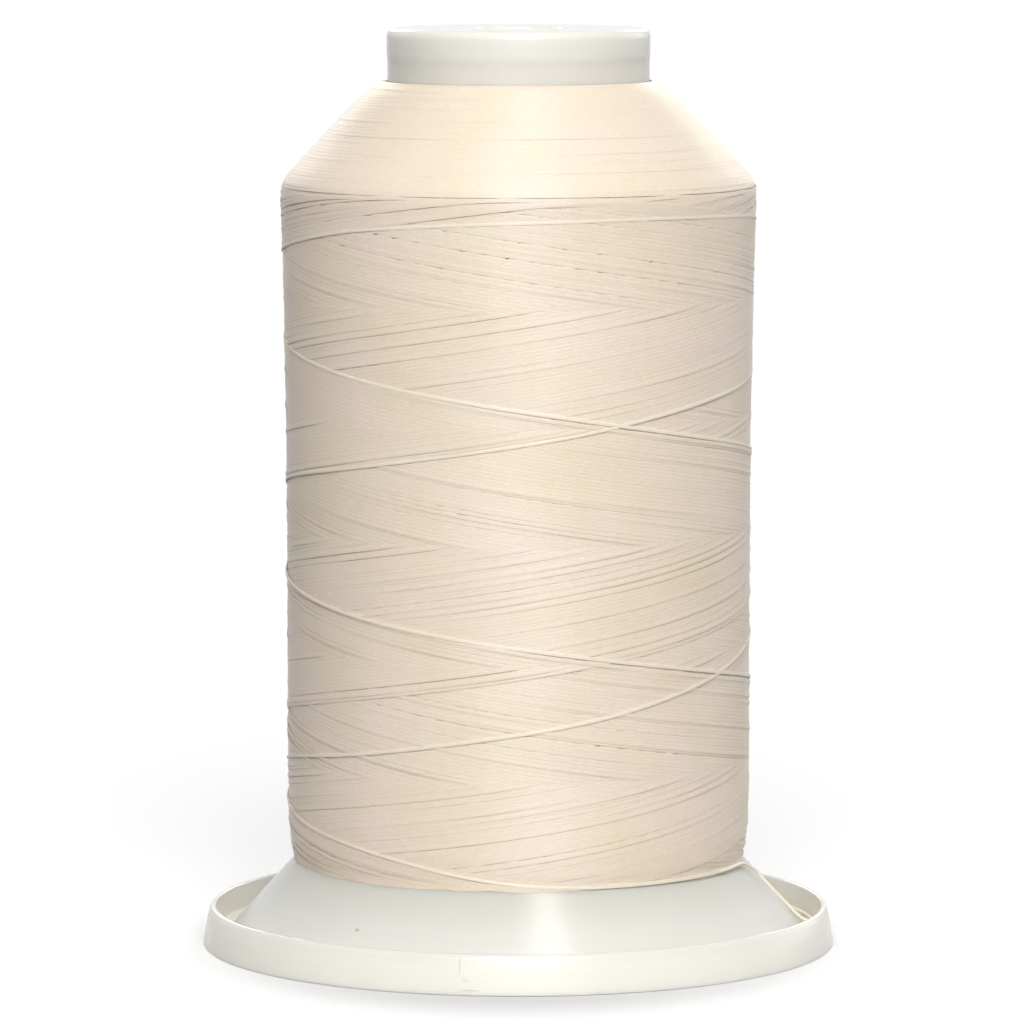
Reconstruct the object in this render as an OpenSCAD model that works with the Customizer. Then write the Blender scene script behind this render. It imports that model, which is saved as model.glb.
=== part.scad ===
// Footed spool of waxed thread. The origin is on the spool's axis at the surface that it stands on.
// A white moulded spool body stands in a snap-fit foot ring. The thread is cross-wound on its tube, and
// the thread's free end is tucked into the gutter between the body's skirt and the ring's rim.

/* [Foot ring] */
// Diameter of the foot ring where it stands
foot_d = 75; // [72:0.5:80]
// Height of the ring's rim
rim_h = 4.6; // [4:0.1:6]
// How far the rim's outer face leans in from its foot to its top
rim_draft = 0.7; // [0.3:0.1:1]
// Thickness of the rim at its top
rim_t = 0.8; // [0.6:0.1:1]
// Thickness of the ring's floor
floor_t = 1.3; // [1:0.1:1.5]
// Width of the gutter between the skirt's edge and the rim
gutter_w = 1.7; // [1.5:0.1:2.5]

/* [Spool body] */
// Height of the spool from the table to the top of its neck
spool_h = 108.5; // [95:0.5:125]
// Diameter of the collar at the top of the neck
collar_d = 31; // [28:0.5:32]
// Height of the collar
collar_h = 3.3; // [2:0.1:5]
// Depth of the step under the collar
collar_step = 0.1; // [0.05:0.05:0.5]
// Radius of the collar's top edge
collar_round = 0.6; // [0.3:0.1:1.2]
// Wall thickness of the tube that the thread is wound on
tube_t = 1.6; // [1.2:0.1:2.5]
// Thickness of the plate that closes the tube's top
top_t = 1.8; // [1.2:0.1:3]
// Diameter of the hole for the stand's spindle
spindle_d = 10; // [6:0.5:14]
// Wall thickness of the hub round the spindle hole
hub_t = 1.5; // [1:0.1:2]
// Number of ribs that carry the hub, and of ribs under the skirt
rib_count = 6; // [3:1:8]
// Thickness of a rib
rib_t = 1.2; // [0.8:0.1:2]
// Height of the ribs', hub's and tube's lower ends above the table
body_lift = 1.5; // [1:0.1:3]
// Slope of the skirt above the table
skirt_angle = 48; // [45:1:50]
// Wall thickness of the skirt
skirt_t = 1.5; // [1.2:0.1:1.8]

/* [Snap fit] */
// Distance from the skirt's edge in to the sleeve that guides the foot ring
sleeve_inset = 7.1; // [6.9:0.1:9]
// Wall thickness of the sleeve and of the ring's collar
snap_t = 1.2; // [1:0.1:1.5]
// Height of the sleeve's lower edge above the table
sleeve_lift = 0.5; // [0.3:0.1:0.8]
// Height of the hook on the sleeve and of the bead in the collar
hook_h = 0.5; // [0.4:0.1:0.6]
// How far the hook reaches under the bead
hook_hold = 0.3; // [0.2:0.05:0.4]
// Clearance between the sliding faces
slide_gap = 0.3; // [0.2:0.05:0.4]
// Gap between the skirt's edge and the ring's floor, which grips the thread
grip_gap = 0.3; // [0.2:0.05:0.4]

/* [Thread package] */
// Diameter of the package at the foot of its barrel
package_d = 54.8; // [50:0.2:58]
// Diameter of the package at its shoulder
shoulder_d = 55.9; // [50:0.1:60]
// Height at which the thread meets the neck
wound_top = 102.3; // [100:0.1:104]
// Slope of the shoulder above the level
shoulder_angle = 46.8; // [45:0.2:50]
// Radius of the shoulder's edge
shoulder_round = 2; // [1.5:0.5:4]
// Radius of the shoulder's top at the neck
crown_round = 2; // [1:0.5:3]
// Width of the level band of thread inside that radius
crown_land = 0.1; // [0.1:0.1:1]
// Height at which the barrel starts to draw in to the skirt
tuck_z = 12.8; // [12:0.2:16]
// Angle that the package's foot draws in by
tuck_angle = 16; // [10:1:20]
// Radius of the draw-in
tuck_round = 20; // [10:1:22]
// Gap between the package and the plastic
package_gap = 0.1; // [0.05:0.05:0.2]

/* [Outer turns] */
// Diameter of the thread
thread_d = 0.4; // [0.3:0.05:0.5]
// Number of strokes along the package, down and up by turns
stroke_count = 7; // [3:2:7]
// Turns in one stroke, in eighths of a turn
stroke_eighths = 27; // [19:2:27]
// How far the turns reach along the package's outline
stroke_reach = 90; // [70:1:92]
// Length of outline between the skirt and the strokes' lower ends
lowest_turn = 1.3; // [1.3:0.1:3]
// Length of outline between the skirt and the last turn, which runs round under the others
foot_turn = 0.4; // [0.4:0.05:0.45]
// How far the centre of the outer layer stands proud of the package's outline
outer_proud = 0.3; // [0:0.1:0.5]
// Distance between the centres of the layers of down strokes and of up strokes
layer_step = 0.9; // [0.9:0.05:1.2]
// Depth of the plain core under the package's outline
core_depth = 1.15; // [1.15:0.05:1.5]

/* [Hidden] */

CREAM = [0.95, 0.9, 0.82];
WHITE = [0.96, 0.96, 0.93];
IVORY = [0.93, 0.93, 0.9];
ROUND_FN = 96;
ARC_STEPS = 8;
// Extra length by which a cut runs past a face, or a rib into its wall
OVER = 0.2;

// Radii of the foot ring, the skirt and the snap fit, from the outside in
rim_in_r = foot_d/2 - rim_draft - rim_t;
skirt_r = rim_in_r - gutter_w;
sleeve_r = skirt_r - sleeve_inset;
sleeve_in_r = sleeve_r - snap_t;
ring_in_r = sleeve_r + slide_gap;
hook_r = ring_in_r + hook_hold;
ring_bore_r = hook_r + slide_gap;
ring_collar_r = ring_bore_r + snap_t;

// Spool body
tube_r = collar_d/2 - collar_step;
tube_in_r = tube_r - tube_t;
hub_r = spindle_d/2 + hub_t;
skirt_z = floor_t + grip_gap;
skirt_rise = tan(skirt_angle);
skirt_drop = skirt_t/cos(skirt_angle);

// The ring's collar ends this far below the skirt
COLLAR_GAP = 0.5;
ring_collar_top = skirt_under(ring_collar_r) - COLLAR_GAP;
// Way from the sleeve's hook up to the collar's bead, where the ring's travel ends
snap_travel = ring_collar_top - 2*hook_h - sleeve_lift;

// Corners of the package's outline from the skirt up to the neck, as radius, height and rounding
tuck_run = (tuck_z - skirt_z - (skirt_r - package_d/2)*skirt_rise)
    /(cos(tuck_angle) + skirt_rise*sin(tuck_angle));
package_in_r = tube_r + package_gap;
crown_r = package_in_r + crown_land + crown_round*tan(shoulder_angle/2);
shoulder_z = wound_top - (shoulder_d/2 - crown_r)*tan(shoulder_angle);
outline_corners = [
    [package_d/2 - tuck_run*sin(tuck_angle), tuck_z - tuck_run*cos(tuck_angle), 0],
    [package_d/2, tuck_z, tuck_round],
    [shoulder_d/2, shoulder_z, shoulder_round],
    [crown_r, wound_top, crown_round],
    [package_in_r, wound_top, 0],
];

// Outer turns. Every ring lies on one of 24 planes through the axis
RINGS = 24;
TURN_SIDES = 6;
stroke_rings = RINGS*stroke_eighths/8;
wound_rings = stroke_count*stroke_rings;
// Rings of the last bit of turn, which runs level along the package's foot
RUN_OUT_RINGS = 4;
// The last stroke reaches the package's foot at the front
FRONT = 270;
// Sharpness of the turn at the end of a stroke: 1 is a corner
REVERSAL = 0.999;
// How fast the thread changes layer at the end of a stroke
LAYER_RATE = 6;
// The hook where the winding comes out of the core, and the gap where it starts
hook_round = core_depth + outer_proud - thread_d;
HOOK_STEPS = 4;
HOOK_GAP = 0.01;

// Thread tail: radius, azimuth and height of points along its route
TAIL_SIDES = 8;
TAIL_RINGS = 80;
TAIL_ROUTE = [
    [27.1, 336, 10.4],
    [27.1, 342, 10.4],
    [27.2, 347, 10.2],
    [27.6, 350.5, 9.7],
    [28.3, 353, 9],
    [29.2, 354, 7.9],
    [30.2, 354.5, 6.8],
    [31.2, 355, 5.7],
    [32.2, 355.5, 4.6],
    [33, 356, 3.7],
    [33.8, 356.5, 3],
    [34.6, 357, 2.6],
    [35.2, 358.5, 2.3],
    [35.5, 361, 2],
    [35.5, 365, 1.8],
    [35.5, 370, 1.8],
    [35.5, 380, 1.8],
    [35.5, 390, 1.8],
    [35.5, 400, 1.8],
    [35.5, 410, 1.8],
    [35.5, 420, 1.8],
    [35.5, 430, 1.8],
    [35.5, 440, 1.8],
    [35.5, 450, 1.8],
    [35.5, 460, 1.8],
];

// ---- Plastic ----

// Height of the skirt's outer face, and of its inner face, at a radius
function skirt_over(r) = skirt_z + (skirt_r - r)*skirt_rise;
function skirt_under(r) = skirt_over(r) - skirt_drop;

// Points of an arc about a centre, from angle a to angle b
function arc(c, r, a, b) = [
    for (i = [0:ARC_STEPS])
        let (t = a + (b - a)*i/ARC_STEPS)
        [c[0] + r*cos(t), c[1] + r*sin(t)]
];

module revolve(outline) {
    rotate_extrude($fn = ROUND_FN) polygon(outline);
}

// Flat floor, upstanding rim with draft, and a collar with a bead inside its top
module foot_ring() {
    echo("foot_ring: travel between the hook and the bead in mm", snap_travel);
    color(WHITE) revolve([
        [ring_bore_r, 0],
        [foot_d/2, 0],
        [foot_d/2 - rim_draft, rim_h],
        [rim_in_r, rim_h],
        [rim_in_r, floor_t],
        [ring_collar_r, floor_t],
        [ring_collar_r, ring_collar_top],
        [ring_in_r, ring_collar_top],
        [ring_in_r, ring_collar_top - hook_h],
        [ring_bore_r, ring_collar_top - hook_h],
    ]);
}

// Tube with its closed top, the collar round it and the rounded top edge
module neck_tube() {
    top_r = collar_d/2;
    revolve(concat(
        [
            [tube_in_r, body_lift],
            [tube_r, body_lift],
            [tube_r, spool_h - collar_h],
            [top_r, spool_h - collar_h + collar_step],
        ],
        arc([top_r - collar_round, spool_h - collar_round], collar_round, 0, 90),
        [
            [spindle_d/2, spool_h],
            [spindle_d/2, spool_h - top_t],
            [tube_in_r, spool_h - top_t],
        ]
    ));
}

module hub() {
    revolve([
        [spindle_d/2, body_lift],
        [hub_r, body_lift],
        [hub_r, spool_h - top_t + OVER],
        [spindle_d/2, spool_h - top_t + OVER],
    ]);
}

module skirt() {
    revolve([
        [tube_r - OVER, skirt_under(tube_r - OVER)],
        [skirt_r - skirt_drop/skirt_rise, skirt_z],
        [skirt_r, skirt_z],
        [tube_r - OVER, skirt_over(tube_r - OVER)],
    ]);
}

// Sleeve under the skirt, with a hook round its lower edge
module snap_sleeve() {
    revolve([
        [sleeve_in_r, sleeve_lift],
        [hook_r, sleeve_lift],
        [hook_r, sleeve_lift + hook_h],
        [sleeve_r, sleeve_lift + hook_h],
        [sleeve_r, skirt_under(sleeve_r) + OVER],
        [sleeve_in_r, skirt_under(sleeve_in_r) + OVER],
    ]);
}

// One upright rib that runs out from the axis, with its top along a line between two heights
module rib(from_r, to_r, from_top, to_top) {
    rotate([90, 0, 0])
        translate([0, 0, -rib_t/2])
            linear_extrude(rib_t)
                polygon([[from_r, body_lift], [to_r, body_lift], [to_r, to_top], [from_r, from_top]]);
}

module hub_rib() {
    rib_top = spool_h - top_t + OVER;
    rib(hub_r - OVER, tube_in_r + OVER, rib_top, rib_top);
}

module skirt_rib() {
    inner_r = tube_r - OVER;
    outer_r = sleeve_in_r + OVER;
    rib(inner_r, outer_r, skirt_under(inner_r) + OVER, skirt_under(outer_r) + OVER);
}

module spool_body() {
    color(IVORY) {
        neck_tube();
        hub();
        skirt();
        snap_sleeve();
        for (i = [0:rib_count - 1])
            rotate([0, 0, 360*i/rib_count]) {
                hub_rib();
                skirt_rib();
            }
    }
}

// ---- Package outline ----

function corner(i) = [outline_corners[i][0], outline_corners[i][1]];
function heading(i) =
    let (d = corner(i + 1) - corner(i))
    atan2(d[1], d[0]);
function turn_at(i) = heading(i) - heading(i - 1);
function tangent_run(i) =
    i == 0 || i == len(outline_corners) - 1 ? 0 : outline_corners[i][2]*tan(turn_at(i)/2);
function straight_run(i) = norm(corner(i + 1) - corner(i)) - tangent_run(i) - tangent_run(i + 1);
function arc_run(i) = outline_corners[i][2]*turn_at(i)*PI/180;
function toward(a) = [cos(a), sin(a)];

// Radius, height and heading at a length s along the outline, which is straight runs joined by arcs
function along(s, i = 0) =
    let (
        start = corner(i) + tangent_run(i)*toward(heading(i)),
        run = straight_run(i)
    )
    s <= run || i == len(outline_corners) - 2
        ? [start + s*toward(heading(i)), heading(i)]
        : s - run <= arc_run(i + 1)
            ? on_arc(start + run*toward(heading(i)), i + 1, (s - run)/arc_run(i + 1))
            : along(s - run - arc_run(i + 1), i + 1);

// The same on the arc at corner i, at a share f of its turn
function on_arc(start, i, f) =
    let (
        r = outline_corners[i][2],
        h = heading(i - 1) + f*turn_at(i),
        centre = start + r*toward(heading(i - 1) + 90)
    )
    [centre - r*toward(h + 90), h];

// Radius and height at a length along the outline and a depth under it
function under(s, depth) =
    let (p = along(s))
    p[0] + depth*toward(p[1] + 90);

outline_length = straight_run(0) + arc_run(1) + straight_run(1) + arc_run(2) + straight_run(2)
    + arc_run(3) + straight_run(3);

// Lengths along the outline at which the core's own outline has a point
core_stations = concat(
    [0, straight_run(0)/2],
    [for (i = [0:ARC_STEPS]) straight_run(0) + arc_run(1)*i/ARC_STEPS],
    [
        for (i = [0:ARC_STEPS])
            straight_run(0) + arc_run(1) + straight_run(1) + arc_run(2)*i/ARC_STEPS
    ],
    [for (i = [0:ARC_STEPS]) outline_length - straight_run(3) - arc_run(3)*(1 - i/ARC_STEPS)]
);

// The plain core under the outer turns, cut to sit on the skirt
module thread_package() {
    core_top = wound_top - core_depth;
    core_foot_r = under(0, core_depth)[0];
    color(CREAM) difference() {
        revolve(concat(
            [for (s = core_stations) under(s, core_depth)],
            [[package_in_r, core_top], [package_in_r, 0], [core_foot_r, 0]]
        ));
        revolve([
            [0, -OVER],
            [foot_d/2, -OVER],
            [foot_d/2, skirt_over(foot_d/2) + package_gap/cos(skirt_angle)],
            [0, skirt_over(0) + package_gap/cos(skirt_angle)],
        ]);
    }
}

// ---- Thread ----

function unit(v) = v/norm(v);
function at_azimuth(p, a) = [p[0]*cos(a), p[0]*sin(a), p[1]];
function path_tangent(path, i) = unit(path[min(i + 1, len(path) - 1)] - path[max(i - 1, 0)]);

// Points round one place on the thread, square to its run
function thread_ring(p, t, sides) =
    let (
        u = unit(cross([0, 0, 1], t)),
        v = cross(t, u)
    )
    [for (k = [0:sides - 1]) p + thread_d/2*(cos(360*k/sides)*u + sin(360*k/sides)*v)];

// One closed tube of the thread along a path
module thread_tube(path, sides) {
    last = (len(path) - 1)*sides;
    rings = [for (i = [0:len(path) - 1]) each thread_ring(path[i], path_tangent(path, i), sides)];
    walls = [
        for (i = [0:len(path) - 2], k = [0:sides - 1])
            let (
                a = i*sides + k,
                b = i*sides + (k + 1)%sides
            )
            each [[a, a + sides, b], [b, a + sides, b + sides]]
    ];
    start_cap = [for (k = [1:sides - 2]) [0, k, k + 1]];
    end_cap = [for (k = [1:sides - 2]) [last, last + k + 1, last + k]];
    polyhedron(rings, concat(walls, start_cap, end_cap));
}

// Place along the package after x strokes: a triangle wave with rounded reversals, 1 at the top
function stroke_wave(x) = asin(REVERSAL*cos(180*x))/asin(REVERSAL);
function stroke_place(x) =
    let (
        top = lowest_turn + stroke_reach,
        low = x > stroke_count - 1 ? foot_turn : lowest_turn
    )
    low + (top - low)*(1 + stroke_wave(x))/2;

// 1 in the outer layer of down strokes, 0 in the inner layer of up strokes
function layer_share(x) =
    x < 0.5 || x > stroke_count - 0.5 ? 1 : max(0, min(1, 0.5 + LAYER_RATE*sin(180*x)));

function turn_azimuth(i) = FRONT + 360*(i - wound_rings)/RINGS;
function turn_point(i) =
    let (
        x = min(i, wound_rings)/stroke_rings,
        depth = (1 - layer_share(x))*layer_step - outer_proud
    )
    at_azimuth(under(stroke_place(x), depth), turn_azimuth(i));

// The first stroke's start: straight out of the core, then round into the outer layer
function start_point(back, depth) =
    let (
        place = stroke_place(0),
        along_turn = back/along(place)[0][0]*180/PI
    )
    at_azimuth(under(place, depth), turn_azimuth(0) - along_turn);

start_hook = concat(
    [start_point(hook_round, core_depth - HOOK_GAP)],
    [
        for (i = [0:HOOK_STEPS - 1])
            let (b = 90*i/HOOK_STEPS)
            start_point(
                hook_round*cos(b),
                core_depth - thread_d - hook_round*sin(b)
            )
    ]
);

turns_path = concat(start_hook, [for (i = [0:wound_rings + RUN_OUT_RINGS]) turn_point(i)]);

// Distance between the centres of two turns where they pass, on the chords that start at points i and j
function pass_distance(path, i, j) =
    let (
        a = path[j] - path[i],
        e = path[j + 1] - path[i + 1] - a,
        f = e*e == 0 ? 0 : max(0, min(1, -(a*e)/(e*e)))
    )
    norm(a + f*e);

function least_gap(path, first) =
    let (last = len(path) - 2)
    min([
        for (i = [first:last - RINGS], j = [i + RINGS:RINGS:last])
            pass_distance(path, i, j)
    ]) - thread_d;

module outer_turns() {
    echo("outer_turns: least gap to itself in mm", least_gap(turns_path, len(start_hook)));
    color(CREAM) thread_tube(turns_path, TURN_SIDES);
}

// ---- Tail ----

// The tail takes over where the winding ends, in line with its last turn
tail_start = turns_path[len(turns_path) - 1];
tail_lead = tail_start + thread_d*unit(tail_start - turns_path[len(turns_path) - 2]);

function to_cylinder(p) = [norm([p[0], p[1]]), 360 + atan2(p[1], p[0]), p[2]];
tail_points = concat([to_cylinder(tail_start), to_cylinder(tail_lead)], TAIL_ROUTE);

// A smooth curve through the route's points: Catmull-Rom in radius, azimuth and height
function curve_point(p, t) =
    let (
        i = min(floor(t), len(p) - 2),
        f = t - i,
        a = p[max(i - 1, 0)],
        b = p[i],
        c = p[i + 1],
        d = p[min(i + 2, len(p) - 1)]
    )
    b + f/2*(c - a) + f*f/2*(2*a - 5*b + 4*c - d) + f*f*f/2*(3*b - a - 3*c + d);

function cylinder_point(c) = at_azimuth([c[0], c[2]], c[1]);

// Fine samples of the curve, and the length along it at each
FINE = 12;
tail_fine = [
    for (i = [0:FINE*(len(tail_points) - 1)]) cylinder_point(curve_point(tail_points, i/FINE))
];
tail_lengths = [
    for (i = 0, s = 0; i < len(tail_fine);
        s = s + (i + 1 < len(tail_fine) ? norm(tail_fine[i + 1] - tail_fine[i]) : 0), i = i + 1) s
];
tail_length = tail_lengths[len(tail_lengths) - 1];

function tail_at(s) =
    let (
        t = lookup(s, [for (i = [0:len(tail_fine) - 1]) [tail_lengths[i], i]]),
        i = min(floor(t), len(tail_fine) - 2)
    )
    tail_fine[i] + (t - i)*(tail_fine[i + 1] - tail_fine[i]);

module thread_tail() {
    echo("thread_tail: length in mm", tail_length);
    after_lead = tail_length - thread_d;
    color(CREAM) thread_tube(
        concat(
            [tail_start, tail_lead],
            [for (i = [1:TAIL_RINGS - 2]) tail_at(thread_d + after_lead*i/(TAIL_RINGS - 2))]
        ),
        TAIL_SIDES
    );
}

foot_ring();
spool_body();
thread_package();
outer_turns();
thread_tail();
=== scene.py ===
"""Looks of the waxed thread spool: two plastic mouldings and one thread, wound turn by turn.

Lengths are in millimetres until a mesh is filled, which turns them into metres. The camera, the
materials, the floor and the lamps are in metres. Heights are over the surface that the spool stands
on, radii are from its axis, and a turn's angle is measured from the front (-Y) towards the right
(+X), in degrees.
"""

import math

import bpy
import numpy as np
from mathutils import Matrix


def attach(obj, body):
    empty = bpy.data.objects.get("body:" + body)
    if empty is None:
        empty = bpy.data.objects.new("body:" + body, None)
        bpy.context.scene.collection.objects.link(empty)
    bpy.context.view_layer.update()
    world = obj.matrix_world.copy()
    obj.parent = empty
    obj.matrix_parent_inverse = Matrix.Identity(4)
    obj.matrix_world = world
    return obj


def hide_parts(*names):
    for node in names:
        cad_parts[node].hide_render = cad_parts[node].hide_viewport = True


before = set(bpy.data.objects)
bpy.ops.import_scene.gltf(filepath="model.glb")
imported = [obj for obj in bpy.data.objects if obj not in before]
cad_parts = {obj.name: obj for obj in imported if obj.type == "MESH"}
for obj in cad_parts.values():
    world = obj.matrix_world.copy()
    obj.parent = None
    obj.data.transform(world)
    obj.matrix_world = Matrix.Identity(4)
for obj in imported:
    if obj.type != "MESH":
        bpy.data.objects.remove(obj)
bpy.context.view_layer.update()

MM = 0.001
FRONT_AZIMUTH = -90.0
rng = np.random.default_rng(11)

# The thread's diameter, and its plies, which go round each other once per PLY_LAY
THREAD_D = 0.4
PLIES = 3
PLY_LAY = 1.7
# Sides of a tube of thread that shows by itself, and of one among many
FREE_SIDES = 12
WOUND_SIDES = 6

# ---- Camera ----

# Fitted to the photo: its lens in mm for a 36 mm sensor, and how far it looks down in degrees
CAMERA_LENS = 223.54
CAMERA_DOWN = 6.03

camera_data = bpy.data.cameras.new("camera")
camera_data.lens = CAMERA_LENS
camera_data.sensor_width = 36.0
camera_data.clip_start = 0.01
camera_data.clip_end = 50.0
camera = bpy.data.objects.new("camera", camera_data)
camera.location = (-0.00065, -0.75, 0.1304)
camera.rotation_euler = (math.radians(90 - CAMERA_DOWN), 0.0, 0.0)
bpy.context.scene.collection.objects.link(camera)
bpy.context.scene.camera = camera
bpy.context.scene.view_settings.view_transform = "Standard"


# ---- Meshes ----

def new_piece(name, points, faces, sizes, body, uv=None):
    """One object from points in mm, the corners of its faces in a row, and the corners per face.

    Its place is in its mesh, it is shaded smooth, and it rides on its body.
    """
    mesh = bpy.data.meshes.new(name)
    mesh.vertices.add(len(points))
    mesh.vertices.foreach_set("co", (np.asarray(points) * MM).astype(np.float32).ravel())
    mesh.loops.add(len(faces))
    mesh.loops.foreach_set("vertex_index", np.asarray(faces, np.int32))
    mesh.polygons.add(len(sizes))
    starts = np.concatenate([[0], np.cumsum(sizes)[:-1]])
    mesh.polygons.foreach_set("loop_start", starts.astype(np.int32))
    mesh.polygons.foreach_set("loop_total", np.asarray(sizes, np.int32))
    mesh.polygons.foreach_set("use_smooth", np.ones(len(sizes), bool))
    if uv is not None:
        layer = mesh.uv_layers.new(name="along_thread")
        layer.data.foreach_set("uv", np.asarray(uv, np.float32).ravel())
    mesh.update(calc_edges=True)
    mesh.validate()
    piece = bpy.data.objects.new(name, mesh)
    bpy.context.scene.collection.objects.link(piece)
    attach(piece, body)
    return piece


def grid_faces(rows, columns, close_rows=True):
    """Quads between neighbouring points of a grid: columns close round, and so may rows."""
    count = rows if close_rows else rows - 1
    i = np.arange(count)[:, None]
    j = np.arange(columns)[None, :]
    below = (i + 1) % rows
    beside = (j + 1) % columns
    quads = np.stack([i * columns + j, i * columns + beside,
                      below * columns + beside, below * columns + j], axis=-1)
    return quads.reshape(-1, 4)


# Spans of the curve that eases a corner, and the least and most that an extra point lies beside it
EASING_SPANS = 4
LEAST_LEAD = 0.004
MOST_LEAD = 0.12


def eased_profile(corners):
    """A closed outline (radius, height) whose corners are eased.

    Each corner is cut back by its own length on both sides, A and B, and bridged by the quadratic
    curve (1-f)^2 A + 2 f (1-f) corner + f^2 B. A point a little before A and one after B keep the
    flat faces flat when shaded smooth.
    """
    table = np.array(corners, float)
    point = table[:, :2]
    cut = table[:, 2:3]
    towards = np.roll(point, -1, axis=0) - point
    length = np.linalg.norm(towards, axis=1, keepdims=True)
    onward = towards / length
    back = -np.roll(onward, 1, axis=0)
    a = point + back * cut
    b = point + onward * cut
    f = np.linspace(0, 1, EASING_SPANS + 1)[None, :, None]
    curve = (1 - f) ** 2 * a[:, None] + 2 * f * (1 - f) * point[:, None] + f ** 2 * b[:, None]
    room = np.minimum(np.roll(length, 1, axis=0), length) / 2 - cut
    step = np.clip(np.minimum(cut, room) / 2, LEAST_LEAD, MOST_LEAD)
    rows = np.concatenate([(a + back * step)[:, None], curve, (b + onward * step)[:, None]], axis=1)
    return rows.reshape(-1, 2)


def revolved(name, profile, segments, body, wound=False):
    """A closed outline turned once round the axis: x = r cos t, y = r sin t, z = height.

    The outline runs anticlockwise as seen with the axis on its left, so that faces point outwards.
    If it stands for thread, its UV map has millimetres round the axis and turns of thread up it.
    """
    t = np.linspace(0, 2 * np.pi, segments, endpoint=False)
    r = profile[:, 0][:, None]
    z = profile[:, 1][:, None] + 0 * t[None, :]
    points = np.stack([r * np.cos(t), r * np.sin(t), z], axis=-1).reshape(-1, 3)
    quads = grid_faces(len(profile), segments)
    uv = None
    if wound:
        i = np.repeat(np.arange(len(profile)), segments)
        j = np.tile(np.arange(segments), len(profile))
        u = np.stack([j, j + 1, j + 1, j], axis=1) * 2 * np.pi / segments * profile[:, 0].max()
        v = profile[np.stack([i, i, i + 1, i + 1], axis=1) % len(profile), 1] / THREAD_D
        uv = np.stack([u, v], axis=-1).reshape(-1, 2)
    return new_piece(name, points, quads.ravel(), np.full(len(quads), 4), body, uv)


def unit(v):
    """Vectors along the last axis, each divided by its length."""
    return v / np.linalg.norm(v, axis=-1, keepdims=True)


def distance_along(points):
    """How far along the line each of its points lies."""
    return np.concatenate([[0], np.cumsum(np.linalg.norm(np.diff(points, axis=0), axis=1))])


def swept_thread(name, line, up, half_width, half_height, sides, relief, softness):
    """A closed tube of thread along a line: p + w cos(q) side + h sin(q) up, for q round it.

    Side is the line's direction crossed with up. With relief, the radius is also multiplied by
    1 - relief (1 - |cos(plies/2 (q - turn))|), where turn grows by 360 degrees per lay. The tube's
    UV map has millimetres along it and one round it. Light goes some way into the fibres and comes
    out beside, so the shading normal on the upper side is drawn towards up by softness.
    """
    along = unit(np.gradient(line, axis=0))
    side = unit(np.cross(along, up))
    up = np.cross(side, along)
    gone = distance_along(line)
    q = np.linspace(0, 2 * np.pi, sides, endpoint=False)
    twist = 2 * np.pi * gone / PLY_LAY
    lobes = 1 - relief * (1 - np.abs(np.cos(PLIES / 2 * (q[None, :] - twist[:, None]))))
    across = (half_width * np.cos(q))[None, :] * lobes
    upward = (half_height * np.sin(q))[None, :] * lobes
    rings = line[:, None] + across[..., None] * side[:, None] + upward[..., None] * up[:, None]
    count = len(line)
    quads = grid_faces(count, sides, close_rows=False)[:, ::-1]
    first_cap = np.arange(sides)
    last_cap = np.arange(sides)[::-1] + (count - 1) * sides
    faces = np.concatenate([quads.ravel(), first_cap, last_cap])
    sizes = np.concatenate([np.full(len(quads), 4), [sides, sides]])
    i = np.repeat(np.arange(count - 1), sides)
    j = np.tile(np.arange(sides), count - 1)
    u = np.stack([gone[i + 1], gone[i + 1], gone[i], gone[i]], axis=1)
    v = np.stack([j, j + 1, j + 1, j], axis=1) / sides
    walls = np.stack([u, v], axis=-1).reshape(-1, 2)
    caps = np.stack([np.repeat([gone[0], gone[-1]], sides),
                     np.tile(np.arange(sides) / sides, 2)], axis=1)
    piece = new_piece(name, rings.reshape(-1, 3), faces, sizes, "spool",
                      np.concatenate([walls, caps]))
    sideways = (np.cos(q) / half_width)[None, :, None] * side[:, None]
    outward = unit(sideways + (np.sin(q) / half_height)[None, :, None] * up[:, None])
    share = (softness * np.minimum(1, 1 + np.sin(q)))[None, :, None]
    normals = unit(outward * (1 - share) + up[:, None] * share).reshape(-1, 3)
    piece.data.normals_split_custom_set_from_vertices(normals)
    return piece


# ---- Thread tail ----

TAIL_START = np.array([23.4069, -13.514, 10.4252])
# The same route as the source's solid: radius, azimuth, height
TAIL_ROUTE = np.array([
    [27.0279, 330.0, 10.4252], [27.1, 336, 10.4], [27.1, 342, 10.4], [27.2, 347, 10.2],
    [27.6, 350.5, 9.7], [28.3, 353, 9], [29.2, 354, 7.9], [30.2, 354.5, 6.8], [31.2, 355, 5.7],
    [32.2, 355.5, 4.6], [33, 356, 3.7], [33.8, 356.5, 3], [34.6, 357, 2.6], [35.2, 358.5, 2.3],
    [35.5, 361, 2], [35.5, 365, 1.8], [35.5, 370, 1.8], [35.5, 380, 1.8], [35.5, 390, 1.8],
    [35.5, 400, 1.8], [35.5, 410, 1.8], [35.5, 420, 1.8], [35.5, 430, 1.8], [35.5, 440, 1.8],
    [35.5, 450, 1.8], [35.5, 460, 1.8],
])
# The tube's upper side points outwards by its radius and up by TAIL_UPRIGHT, and its rings of
# points are TAIL_RING_GAP apart
TAIL_UPRIGHT = 12.0
TAIL_RING_GAP = 0.12


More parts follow.
